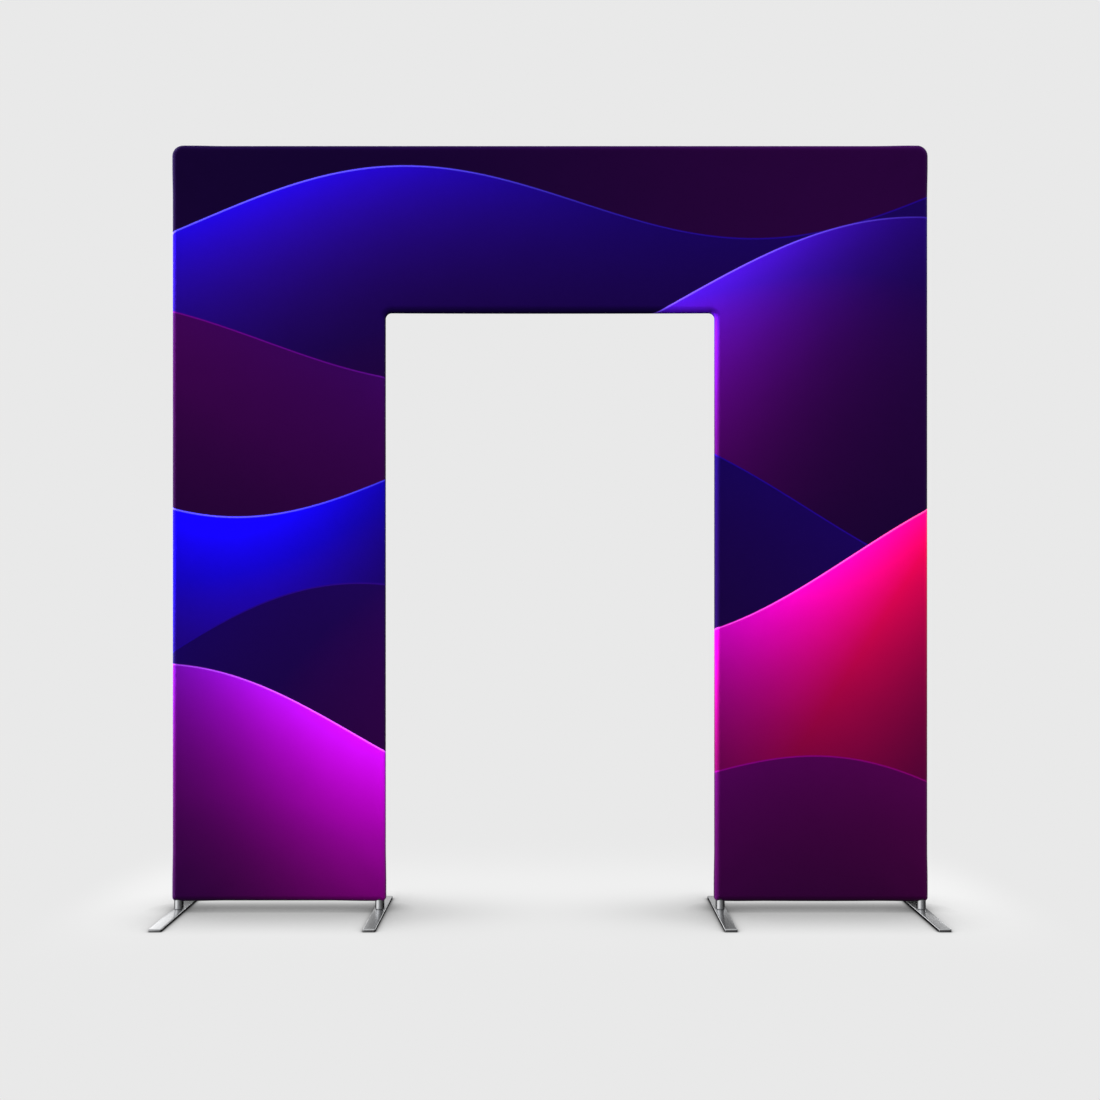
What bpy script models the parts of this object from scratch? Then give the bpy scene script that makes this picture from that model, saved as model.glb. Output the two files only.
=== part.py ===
"""Fabric arch stand: a stretch cover over a tube frame in the shape of a doorway.

The cover is a front and a back panel, sewn to each other round the edge of the arch. They
are pulled over a frame of round tubes, which corner fittings join, and four posts carry the
frame on flat feet. Metres, +Z up, the front towards -Y. The origin is on the floor, under
the middle of the stand's box. The feet reach further to the front than to the rear, so the
plane of the frame lies a little behind it.
"""

import math

import bmesh
import bpy

NAME = "fabric_arch_stand"

# Cover
COVER_WIDTH = 2.500
COVER_HEIGHT = 2.500
DOOR_WIDTH = 1.088
HEADER_HEIGHT = 0.554
UNDER_COVER = 0.036  # floor to the cloth's lowest edge
CLOTH = 0.0015
SEAM_GAP = 0.0003  # between the two panels, in the frame's plane
TOP_CORNER = 0.037
BOTTOM_CORNER = 0.014
DOOR_CORNER = 0.015

# Frame
TUBE_R = 0.0175
TUBE_WALL = 0.002
FITTING_R = 0.019
COLLAR_R = 0.0185  # a fitting's arms, a little slimmer than its body
CLOTH_FIT = 0.0005  # between the frame and the cloth on it
COLLAR = 0.040  # corner to the end of a fitting's collar
SPIGOT_R = 0.0152
SPIGOT = 0.050  # length inside a tube
ARM_INTO_BEND = 0.002  # an arm of an upper elbow, past the start of its bend
LINTEL_COLLAR = 0.020  # straight length past a lintel elbow's bend
FIT = 0.0003  # between pieces that touch

# Posts and feet
POST_R = 0.015
POST_BORE = 0.0003  # round a post, in its fitting
POST_IN_TUBE = 0.120
POST_HOLE = 0.0008  # round a post, in the cloth
FOOT_FRONT = 0.236  # post's axis to the foot's front end
FOOT_REAR = 0.164
FOOT_WIDTH = 0.040
FOOT_THICK = 0.010
FOOT_BEVEL = 0.0022

# The cloth lies close on the tubes and is lifted a little by the thicker fittings
COVER_R = TUBE_R + CLOTH_FIT + CLOTH
LIFTED_R = FITTING_R + CLOTH_FIT + CLOTH
LIFT_FULL = 0.045  # from a fitting's corner, along the edge
LIFT_END = 0.160
LIFT_INTO_FACE = 0.120

PLANE_Y = (FOOT_FRONT - FOOT_REAR) / 2
OUTER_X = COVER_WIDTH / 2 - LIFTED_R
INNER_X = DOOR_WIDTH / 2 + COVER_R
BOTTOM_Z = UNDER_COVER + LIFTED_R
TOP_Z = UNDER_COVER + COVER_HEIGHT - LIFTED_R
LINTEL_Z = UNDER_COVER + COVER_HEIGHT - HEADER_HEIGHT + COVER_R
POST_X = (-OUTER_X, -INNER_X, INNER_X, OUTER_X)

SIDES = 24  # of a round piece
RIM_STEPS = 5  # from the seam to the flat of a panel
ARC_STEPS = 6  # round a corner of the cover
NEAR_CORNER = (0.025, 0.050, 0.090, 0.130, 0.170)  # extra points along an edge
FACE_RINGS = (0.030, 0.075, LIFT_INTO_FACE)  # inwards from the tubes' centre line

# The corners of the tubes' centre line, in order round the cover:
# x, z, outline radius, +1 for a corner that points out or -1 for one of the doorway, on a fitting
CORNERS = (
    (-OUTER_X, BOTTOM_Z, BOTTOM_CORNER, 1, True),
    (-OUTER_X, TOP_Z, TOP_CORNER, 1, True),
    (OUTER_X, TOP_Z, TOP_CORNER, 1, True),
    (OUTER_X, BOTTOM_Z, BOTTOM_CORNER, 1, True),
    (INNER_X, BOTTOM_Z, BOTTOM_CORNER, 1, True),
    (INNER_X, LINTEL_Z, DOOR_CORNER, -1, False),
    (-INNER_X, LINTEL_Z, DOOR_CORNER, -1, False),
    (-INNER_X, BOTTOM_Z, BOTTOM_CORNER, 1, True),
)


def clear_scene():
    for obj in list(bpy.data.objects):
        bpy.data.objects.remove(obj, do_unlink=True)


def new_collection(name, hidden=False):
    collection = bpy.data.collections.new(name)
    collection.hide_render = hidden
    bpy.context.scene.collection.children.link(collection)
    return collection


def new_material(name, color, roughness, metallic=0.0):
    material = bpy.data.materials.new(name)
    material.use_nodes = True
    shader = material.node_tree.nodes["Principled BSDF"]
    shader.inputs["Base Color"].default_value = (*color, 1.0)
    shader.inputs["Roughness"].default_value = roughness
    shader.inputs["Metallic"].default_value = metallic
    material.diffuse_color = (*color, 1.0)
    return material


def object_from_bmesh(name, bm, collection, material=None):
    mesh = bpy.data.meshes.new(name)
    bm.to_mesh(mesh)
    bm.free()
    obj = bpy.data.objects.new(name, mesh)
    collection.objects.link(obj)
    if material:
        mesh.materials.append(material)
        mesh.shade_smooth()
        mesh.set_sharp_from_angle(angle=math.radians(35))
    return obj


def smooth_step(low, high, value):
    t = min(max((value - low) / (high - low), 0.0), 1.0)
    return t * t * (3 - 2 * t)


# Cover panels


def unit(dx, dz):
    length = math.hypot(dx, dz)
    return dx / length, dz / length


def corner_point(corner, turn, offset):
    """A point of the ring at this offset outside the tubes' centre line, on a corner's arc.

    turn runs from 0, where the edge that comes in ends, to 1, where the next edge starts.
    """
    index = CORNERS.index(corner)
    x, z, outline_radius, way, _ = corner
    before, after = CORNERS[index - 1], CORNERS[(index + 1) % len(CORNERS)]
    arrive = unit(x - before[0], z - before[1])
    leave = unit(after[0] - x, after[1] - z)
    if way > 0:
        radius = max(outline_radius - (LIFTED_R - offset), 0.0003)
        shift = offset - radius
    else:
        radius = outline_radius + COVER_R - offset
        shift = -(offset + radius)
    # Outwards from an edge that runs along (dx, dz), with the cover on its right hand, is (-dz, dx).
    cx = x + shift * way * (-arrive[1] - leave[1])
    cz = z + shift * way * (arrive[0] + leave[0])
    angle = turn * math.pi / 2
    out_x = way * (-arrive[1] * math.cos(angle) - leave[1] * math.sin(angle))
    out_z = way * (arrive[0] * math.cos(angle) + leave[0] * math.sin(angle))
    return cx + radius * out_x, cz + radius * out_z


def edge_point(start, end, along, offset):
    """A point on the straight edge between two corners, a share of the way along it."""
    x0, z0 = corner_point(start, 1.0, offset)
    x1, z1 = corner_point(end, 0.0, offset)
    return x0 + (x1 - x0) * along, z0 + (z1 - z0) * along


def outline_places():
    """Where the points of every ring lie, as functions of the offset, in order round the cover."""
    places = []
    for index, corner in enumerate(CORNERS):
        following = CORNERS[(index + 1) % len(CORNERS)]
        for step in range(ARC_STEPS + 1):
            places.append(lambda o, c=corner, t=step / ARC_STEPS: corner_point(c, t, o))
        length = math.dist(corner[:2], following[:2])
        near = [d / length for d in NEAR_CORNER if d < length * 0.45]
        for along in near + [1 - d for d in reversed(near)]:
            places.append(lambda o, a=corner, b=following, t=along: edge_point(a, b, t, o))
    return places


def lift_at(x, z):
    """1 on a corner fitting, down to 0 where the cloth lies on the tubes alone."""
    nearest = min(math.hypot(x - c[0], z - c[1]) for c in CORNERS if c[4])
    return 1 - smooth_step(LIFT_FULL, LIFT_END, nearest)


def squareness_at(x, z):
    """The power of the rim's section: 2 is round, and 4 is the flat-ended sleeve over a post."""
    nearest = min(abs(x - post) for post in POST_X)
    beside = 1 - smooth_step(0.030, 0.090, nearest)
    above = 1 - smooth_step(0.0, 0.060, z - BOTTOM_Z + LIFTED_R * 0.5)
    return 2 + 2 * beside * above


def rim_ring(places, angle, inside):
    """Points (x, z, depth) of the rim at this angle from the frame's plane."""
    ring = []
    for place in places:
        x, z = place(COVER_R)
        radius = COVER_R + (LIFTED_R - COVER_R) * lift_at(x, z) - inside
        power = 2 / squareness_at(x, z)
        offset = radius * math.cos(angle) ** power
        depth = max(radius * math.sin(angle) ** power, SEAM_GAP / 2)
        ring.append((*place(offset), depth))
    return ring


def face_ring(places, inset, inside):
    """Points of a ring on the flat of the panel, where the lift of the fittings dies away."""
    ring = []
    for place in places:
        x, z = place(COVER_R)
        lift = lift_at(x, z) * (1 - smooth_step(0.0, LIFT_INTO_FACE, inset))
        ring.append((*place(-inset), COVER_R + (LIFTED_R - COVER_R) * lift - inside))
    return ring


def panel_skin(places, inside):
    """The rings of one skin of the cloth, from the seam in the frame's plane to the flat."""
    angles = [math.pi / 2 * step / RIM_STEPS for step in range(RIM_STEPS + 1)]
    rims = [rim_ring(places, angle, inside) for angle in angles]
    return rims + [face_ring(places, inset, inside) for inset in FACE_RINGS]


def make_panel(name, side, collection, material):
    """One panel of the cover: its flat, and its edge turned round the tubes to the seam."""
    places = outline_places()
    chain = list(reversed(panel_skin(places, 0.0))) + panel_skin(places, CLOTH)
    bm = bmesh.new()
    loops = [[bm.verts.new((x, PLANE_Y + side * d, z)) for x, z, d in ring] for ring in chain]
    for ring, other in zip(loops, loops[1:]):
        for i, vert in enumerate(ring):
            bm.faces.new((ring[i - 1], vert, other[i], other[i - 1]))
    for ring in (loops[0], loops[-1]):
        edges = [bm.edges.get((ring[i - 1], vert)) for i, vert in enumerate(ring)]
        bmesh.ops.triangle_fill(bm, use_beauty=True, edges=edges)
    bmesh.ops.recalc_face_normals(bm, faces=bm.faces)
    return object_from_bmesh(name, bm, collection, material)


# Round pieces


def add_cylinder(bm, radius, start, end, sides=SIDES):
    """A closed cylinder between two points along X or Z."""
    along_x = abs(end[0] - start[0]) > abs(end[2] - start[2])
    length = math.dist(start, end)
    made = bmesh.ops.create_cone(
        bm, cap_ends=True, segments=sides, radius1=radius, radius2=radius, depth=length
    )
    if along_x:
        for vert in made["verts"]:
            vert.co.xyz = vert.co.z, vert.co.y, -vert.co.x
    middle = [(a + b) / 2 for a, b in zip(start, end)]
    bmesh.ops.translate(bm, verts=made["verts"], vec=middle)


def cylinder(name, radius, start, end, collection, material=None):
    bm = bmesh.new()
    add_cylinder(bm, radius, start, end)
    return object_from_bmesh(name, bm, collection, material)


def boolean(obj, other, operation):
    other.display_type = "WIRE"
    modifier = obj.modifiers.new(other.name, "BOOLEAN")
    modifier.operation = operation
    modifier.object = other


def make_tube(name, start, end, collection, material):
    """A tube between two points: an open cylinder with its wall turned inwards."""
    bm = bmesh.new()
    add_cylinder(bm, TUBE_R, start, end)
    ends = [face for face in bm.faces if len(face.verts) > 4]
    bmesh.ops.delete(bm, geom=ends, context="FACES_ONLY")
    tube = object_from_bmesh(name, bm, collection, material)
    wall = tube.modifiers.new("wall", "SOLIDIFY")
    wall.thickness = TUBE_WALL
    wall.offset = -1.0
    return tube


def turned(name, profile, sweep, centre, collection, material=None):
    """A profile of (radius, height) turned round an upright axis through centre."""
    bm = bmesh.new()
    verts = [bm.verts.new((r, 0.0, h)) for r, h in profile]
    for a, b in zip(verts, verts[1:]):
        bm.edges.new((a, b))
    obj = object_from_bmesh(name, bm, collection, material)
    obj.location = centre
    screw = obj.modifiers.new("turn", "SCREW")
    screw.angle = sweep
    screw.steps = screw.render_steps = SIDES
    screw.use_merge_vertices = True
    screw.merge_threshold = 0.00001
    return obj


# Corner fittings


def at(x, z):
    return x, PLANE_Y, z


def toward(start, end, distance):
    """The point this far from start on the way to end."""
    length = math.dist(start, end)
    return tuple(a + (b - a) * distance / length for a, b in zip(start, end))


def add_arm(fitting, label, start, corner, end, cutters):
    """Unites a fitting with the collar and the spigot that carry one tube."""
    for part, radius, reach in (
        ("collar", COLLAR_R, COLLAR),
        ("spigot", SPIGOT_R, COLLAR + SPIGOT),
    ):
        tip = toward(corner, end, reach)
        piece = cylinder(f"{fitting.name}_{part}_{label}", radius, start, tip, cutters)
        boolean(fitting, piece, "UNION")


def make_top_fitting(name, way, collection, cutters, material):
    """The elbow of an upper corner: a ball on the bend, and an arm into each tube."""
    bend = TOP_CORNER - LIFTED_R
    ball_shift = bend * (1 - math.sqrt(0.5))
    corner = at(way * OUTER_X, TOP_Z)
    middle = at(way * (OUTER_X - ball_shift), TOP_Z - ball_shift)
    bm = bmesh.new()
    bmesh.ops.create_uvsphere(bm, u_segments=SIDES, v_segments=SIDES // 2, radius=FITTING_R)
    bmesh.ops.translate(bm, verts=bm.verts, vec=middle)
    fitting = object_from_bmesh(name, bm, collection, material)
    into_bend = bend - ARM_INTO_BEND
    along_bar = at(way * (OUTER_X - into_bend), TOP_Z)
    along_upright = at(way * OUTER_X, TOP_Z - into_bend)
    add_arm(fitting, "bar", along_bar, corner, at(0.0, TOP_Z), cutters)
    add_arm(fitting, "upright", along_upright, corner, at(way * OUTER_X, 0.0), cutters)
    return fitting


def make_lintel_fitting(name, way, collection, cutters, material):
    """The elbow over a corner of the doorway: a bent rod with a thinner one through it."""
    bend = DOOR_CORNER + COVER_R
    heart = (way * (INNER_X - bend), LINTEL_Z - bend)

    def route(straight):
        arc = [math.pi / 2 * step / ARC_STEPS for step in range(ARC_STEPS + 1)]
        points = [(heart[0] + way * bend * math.cos(a), heart[1] + bend * math.sin(a)) for a in arc]
        first = (points[0][0], points[0][1] - straight)
        last = (points[-1][0] - way * straight, points[-1][1])
        return [first, *points, last]

    fitting = bent_rod(name, TUBE_R, route(LINTEL_COLLAR), collection, material)
    spigots = bent_rod(f"{name}_spigots", SPIGOT_R, route(LINTEL_COLLAR + SPIGOT), cutters)
    boolean(fitting, spigots, "UNION")
    return fitting


def bent_rod(name, radius, points, collection, material=None):
    """A round rod through points (x, z) of the frame's plane."""
    curve = bpy.data.curves.new(name, "CURVE")
    curve.dimensions = "3D"
    curve.bevel_depth = radius
    curve.bevel_resolution = SIDES // 4 - 2
    curve.use_fill_caps = True
    spline = curve.splines.new("POLY")
    spline.points.add(len(points) - 1)
    for point, (x, z) in zip(spline.points, points):
        point.co = (x, PLANE_Y, z, 1.0)
    guide = bpy.data.objects.new(f"{name}_route", curve)
    collection.objects.link(guide)
    graph = bpy.context.evaluated_depsgraph_get()
    mesh = bpy.data.meshes.new_from_object(guide.evaluated_get(graph))
    bm = bmesh.new()
    bm.from_mesh(mesh)
    bmesh.ops.remove_doubles(bm, verts=bm.verts, dist=0.00001)
    bmesh.ops.recalc_face_normals(bm, faces=bm.faces)
    bpy.data.objects.remove(guide)
    bpy.data.meshes.remove(mesh)
    return object_from_bmesh(name, bm, collection, material)


def make_bottom_fitting(name, post_x, bar_way, collection, cutters, material):
    """The corner over a post: a bored body, and an arm into the bottom bar."""
    low = UNDER_COVER + CLOTH + CLOTH_FIT
    fillet = BOTTOM_CORNER - CLOTH - CLOTH_FIT
    steps = 5
    arc = [math.pi / 2 * step / steps for step in range(steps + 1)]
    lower_edge = [
        (FITTING_R - fillet + fillet * math.cos(a), low + fillet - fillet * math.sin(a)) for a in arc
    ]
    profile = [(0.0, BOTTOM_Z + COLLAR), (FITTING_R, BOTTOM_Z + COLLAR), *lower_edge, (0.0, low)]
    fitting = turned(name, profile, 2 * math.pi, at(post_x, 0.0), collection, material)
    corner = at(post_x, BOTTOM_Z)
    add_arm(fitting, "bar", corner, corner, at(post_x + bar_way, BOTTOM_Z), cutters)
    top = BOTTOM_Z + COLLAR + FIT
    bore = cylinder(f"{name}_bore", POST_R + POST_BORE, at(post_x, 0.0), at(post_x, top), cutters)
    boolean(fitting, bore, "DIFFERENCE")
    return fitting


# Posts and feet


def make_post(name, post_x, collection, material):
    """The post that stands on a foot and plugs up through its fitting into the upright."""
    top = BOTTOM_Z + COLLAR + POST_IN_TUBE
    return cylinder(name, POST_R, at(post_x, FOOT_THICK + FIT), at(post_x, top), collection, material)


def make_foot(name, post_x, collection, material):
    """A flat bar across the frame's plane, longer to the front, with rounded edges."""
    bm = bmesh.new()
    bmesh.ops.create_cube(bm, size=1.0)
    bmesh.ops.scale(bm, verts=bm.verts, vec=(FOOT_WIDTH, FOOT_FRONT + FOOT_REAR, FOOT_THICK))
    bmesh.ops.translate(bm, verts=bm.verts, vec=(post_x, 0.0, FOOT_THICK / 2))
    foot = object_from_bmesh(name, bm, collection, material)
    edges = foot.modifiers.new("edges", "BEVEL")
    edges.width = FOOT_BEVEL
    edges.segments = 3
    return foot


def main():
    clear_scene()
    parts = new_collection(NAME)
    cutters = new_collection(f"{NAME}_cutters", hidden=True)

    cloth = new_material("printed_stretch_cloth", (0.05, 0.01, 0.22), 0.8)
    tube_metal = new_material("tube_aluminium", (0.72, 0.73, 0.75), 0.35, 1.0)
    fitting_plastic = new_material("fitting_plastic", (0.05, 0.05, 0.055), 0.6)
    post_metal = new_material("post_steel", (0.62, 0.63, 0.65), 0.28, 1.0)
    foot_metal = new_material("foot_steel", (0.66, 0.67, 0.69), 0.32, 1.0)

    hole_r = POST_R + POST_HOLE
    holes = [
        cylinder(f"post_hole_{i}", hole_r, at(x, 0.020), at(x, BOTTOM_Z), cutters)
        for i, x in enumerate(POST_X)
    ]
    for name, side in (("cover_front_panel", -1), ("cover_back_panel", 1)):
        panel = make_panel(name, side, parts, cloth)
        for hole in holes:
            boolean(panel, hole, "DIFFERENCE")

    clear = COLLAR + FIT
    lintel_clear = DOOR_CORNER + COVER_R + LINTEL_COLLAR + FIT
    for label, way in (("left", -1), ("right", 1)):
        outer, inner = way * OUTER_X, way * INNER_X
        make_tube(
            f"outer_upright_{label}", at(outer, BOTTOM_Z + clear), at(outer, TOP_Z - clear), parts, tube_metal
        )
        make_tube(
            f"inner_upright_{label}",
            at(inner, BOTTOM_Z + clear),
            at(inner, LINTEL_Z - lintel_clear),
            parts,
            tube_metal,
        )
        low_x, high_x = sorted((outer - way * clear, inner + way * clear))
        make_tube(f"bottom_bar_{label}", at(low_x, BOTTOM_Z), at(high_x, BOTTOM_Z), parts, tube_metal)
        make_top_fitting(f"top_fitting_{label}", way, parts, cutters, fitting_plastic)
        make_lintel_fitting(f"lintel_fitting_{label}", way, parts, cutters, fitting_plastic)
    make_tube("top_bar", at(-OUTER_X + clear, TOP_Z), at(OUTER_X - clear, TOP_Z), parts, tube_metal)
    lintel_end = INNER_X - lintel_clear
    make_tube("lintel_bar", at(-lintel_end, LINTEL_Z), at(lintel_end, LINTEL_Z), parts, tube_metal)

    feet = zip(("outer_left", "inner_left", "inner_right", "outer_right"), POST_X, (1, -1, 1, -1))
    for label, post_x, bar_way in feet:
        make_bottom_fitting(f"bottom_fitting_{label}", post_x, bar_way, parts, cutters, fitting_plastic)
        make_post(f"post_{label}", post_x, parts, post_metal)
        make_foot(f"foot_{label}", post_x, parts, foot_metal)


main()
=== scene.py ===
"""Looks of the fabric arch stand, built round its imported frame.

A printed stretch cover, sewn from a front and a back panel, is pulled over a tube frame that
stands on four round posts and flat bar feet. Metres, +Z up, the front towards -Y.
"""

import logging
import math
from dataclasses import dataclass
from enum import Enum
from functools import reduce
from typing import NamedTuple, Sequence

import bmesh
import bpy
import numpy as np
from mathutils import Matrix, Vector
from mathutils.geometry import tessellate_polygon


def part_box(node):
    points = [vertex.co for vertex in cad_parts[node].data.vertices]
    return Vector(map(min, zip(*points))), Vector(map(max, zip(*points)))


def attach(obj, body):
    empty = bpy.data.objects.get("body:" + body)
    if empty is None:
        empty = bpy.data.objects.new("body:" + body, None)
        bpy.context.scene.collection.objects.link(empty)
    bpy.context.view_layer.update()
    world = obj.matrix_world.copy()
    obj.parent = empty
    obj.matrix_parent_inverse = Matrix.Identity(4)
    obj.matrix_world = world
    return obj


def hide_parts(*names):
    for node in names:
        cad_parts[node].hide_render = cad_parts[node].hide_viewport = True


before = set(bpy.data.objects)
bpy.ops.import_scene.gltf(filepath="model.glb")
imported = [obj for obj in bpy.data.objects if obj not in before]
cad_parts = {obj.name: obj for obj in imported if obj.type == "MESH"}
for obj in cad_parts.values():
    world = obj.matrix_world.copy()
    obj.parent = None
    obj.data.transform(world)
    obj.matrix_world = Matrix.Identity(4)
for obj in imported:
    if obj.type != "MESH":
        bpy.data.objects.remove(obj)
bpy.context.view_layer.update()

LOG = logging.getLogger("fabric_arch_stand")
MM = 0.001
PLACES = ("outer_left", "inner_left", "inner_right", "outer_right")  # of the posts and feet

Color = tuple[float, float, float]
Socket = bpy.types.NodeSocket
Inputs = Sequence[object] | dict[str | int, object]


class Fade(NamedTuple):
    """A smooth change of level: at_start as far as start, and at_end from end on."""

    start: float
    end: float
    at_start: float
    at_end: float


def from_screen(red: int, green: int, blue: int) -> Color:
    """Linear colour of a screen colour given in steps of 255.

    Args:
        red: Red, 0 to 255.
        green: Green, 0 to 255.
        blue: Blue, 0 to 255.

    Returns:
        The linear colour.
    """
    shares = (value / 255 for value in (red, green, blue))
    return tuple(s / 12.92 if s <= 0.04045 else ((s + 0.055) / 1.055) ** 2.4 for s in shares)


def smooth_step(low: float, high: float, value: np.ndarray | float) -> np.ndarray | float:
    """0 below low, 1 above high, and a smooth rise between them.

    Args:
        low: Where the rise starts.
        high: Where it ends.
        value: One value or an array.

    Returns:
        The height of the rise at value.
    """
    share = np.clip((np.asarray(value) - low) / (high - low), 0.0, 1.0)
    return share * share * (3 - 2 * share)


# Node trees


class Graph:
    """Adds nodes to one node tree and links them as it goes."""

    def __init__(self, tree: bpy.types.NodeTree) -> None:
        """Takes the tree that the nodes go into."""
        self.tree = tree

    def feed(self, socket: Socket, value: object) -> None:
        """Fills one input.

        Args:
            socket: The input.
            value: An output to link, a constant, or None to leave the input as it is.
        """
        if isinstance(value, bpy.types.NodeSocket):
            self.tree.links.new(value, socket)
        elif value is not None:
            is_color = socket.type == "RGBA" and len(value) == 3
            socket.default_value = (*value, 1.0) if is_color else value

    def fill(self, node: bpy.types.Node, inputs: Inputs) -> None:
        """Fills several inputs.

        Args:
            node: Their node.
            inputs: What each gets, in their order, or by their names or numbers.
        """
        named = inputs if isinstance(inputs, dict) else dict(enumerate(inputs))
        for key, value in named.items():
            self.feed(node.inputs[key], value)

    def node(self, kind: str, inputs: Inputs = (), **values: object) -> bpy.types.Node:
        """Adds a node.

        Args:
            kind: The node's type name. A shader node's goes without its ShaderNode prefix.
            inputs: What its inputs get, as in fill.
            **values: Properties of the node.

        Returns:
            The node.
        """
        made = self.tree.nodes.new(kind if "Node" in kind else f"ShaderNode{kind}")
        for name, value in values.items():
            setattr(made, name, value)
        self.fill(made, inputs)
        return made

    def math(self, operation: str, *values: object) -> Socket:
        """Adds a Math node and returns its result."""
        return self.node("Math", values, operation=operation).outputs[0]

    def product(self, first: object, *others: object) -> Socket:
        """Multiplies numbers."""
        return reduce(lambda left, right: self.math("MULTIPLY", left, right), others, first)

    def total(self, first: object, *others: object) -> Socket:
        """Adds numbers up."""
        return reduce(lambda left, right: self.math("ADD", left, right), others, first)

    def vector(self, operation: str, *values: object) -> Socket:
        """Adds a Vector Math node and returns its vector."""
        return self.node("VectorMath", values, operation=operation).outputs[0]

    def scale(self, vector: object, factor: object) -> Socket:
        """Multiplies a vector or a colour by a number."""
        return self.node("VectorMath", {0: vector, "Scale": factor}, operation="SCALE").outputs[0]

    def mix(self, factor: object, first: object, second: object) -> Socket:
        """Blends from one colour to another. Sockets 6, 7 and 2 are the ones for colours."""
        return self.node("Mix", {0: factor, 6: first, 7: second}, data_type="RGBA").outputs[2]

    def remap(self, value: object, *fade: float) -> Socket:
        """Turns a number into its level on a Fade, given as its four numbers."""
        return self.node("MapRange", (value, *fade), interpolation_type="SMOOTHSTEP").outputs[0]

    def noise(self, vector: Socket, scale: float, detail: float = 2.0) -> Socket:
        """Adds a Noise Texture and returns its value."""
        return self.node("TexNoise", {"Vector": vector, "Scale": scale, "Detail": detail}).outputs[0]

    def bell(self, value: Socket) -> Socket:
        """exp(-value squared)."""
        return self.math("EXPONENT", self.product(value, value, -1.0))

    def bump(self, height: Socket, distance: float, strength: float) -> Socket:
        """Adds a Bump node and returns its normal."""
        inputs = {"Height": height, "Distance": distance, "Strength": strength}
        return self.node("Bump", inputs).outputs[0]


def cleared_graph(owner: bpy.types.Material | bpy.types.World) -> Graph:
    """Gives a material or a world an empty node tree.

    Args:
        owner: The material or world.

    Returns:
        A graph on its tree.
    """
    owner.use_nodes = True
    owner.node_tree.nodes.clear()
    return Graph(owner.node_tree)


def new_material(
    name: str, kind: str = "BsdfPrincipled"
) -> tuple[bpy.types.Material, Graph, bpy.types.Node]:
    """Starts a material.

    Args:
        name: The material's name.
        kind: Its shader node's type name.

    Returns:
        The material, a graph on its tree, and its shader node.
    """
    material = bpy.data.materials.new(name)
    graph = cleared_graph(material)
    shader = graph.node(kind)
    graph.node("OutputMaterial", {"Surface": shader.outputs[0]})
    return material, graph, shader


def new_group(
    kind: str, name: str, inputs: dict[str, str], output: str
) -> tuple[Graph, bpy.types.NodeOutputs, Socket]:
    """Starts a node group with one output.

    Args:
        kind: Its kind, Shader or Geometry.
        name: Its name.
        inputs: The kind of socket of each input, by the input's name.
        output: The output's kind of socket, which also names it.

    Returns:
        A graph on the group, what its inputs give, and the socket that takes its result.
    """
    tree = bpy.data.node_groups.new(name, f"{kind}NodeTree")
    for title, socket in inputs.items():
        tree.interface.new_socket(title, in_out="INPUT", socket_type=f"NodeSocket{socket}")
    tree.interface.new_socket(output, in_out="OUTPUT", socket_type=f"NodeSocket{output}")
    given = tree.nodes.new("NodeGroupInput").outputs
    return Graph(tree), given, tree.nodes.new("NodeGroupOutput").inputs[0]


# Print


@dataclass(frozen=True)
class Wave:
    """One wave of the print: a bright crest line with a glow that dies away below it.

    Args:
        level: Height of the crest over the middle of the arch.
        slope: Rise of the crest for each metre to the right.
        swing: Height of the swell on the crest.
        turn: Radians of the swell for each metre.
        phase: Where the swell starts, in radians.
        reach: Depth of the glow.
        hue: Place on the colour row over the middle of the arch.
        drift: Change of that place for each metre to the right.
        focus: Where along the crest the glow is brightest.
        spread: Half width of the bright stretch.
        gain: Brightness of the glow.
    """

    level: float
    slope: float
    swing: float
    turn: float
    phase: float
    reach: float
    hue: float
    drift: float
    focus: float
    spread: float
    gain: float


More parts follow.
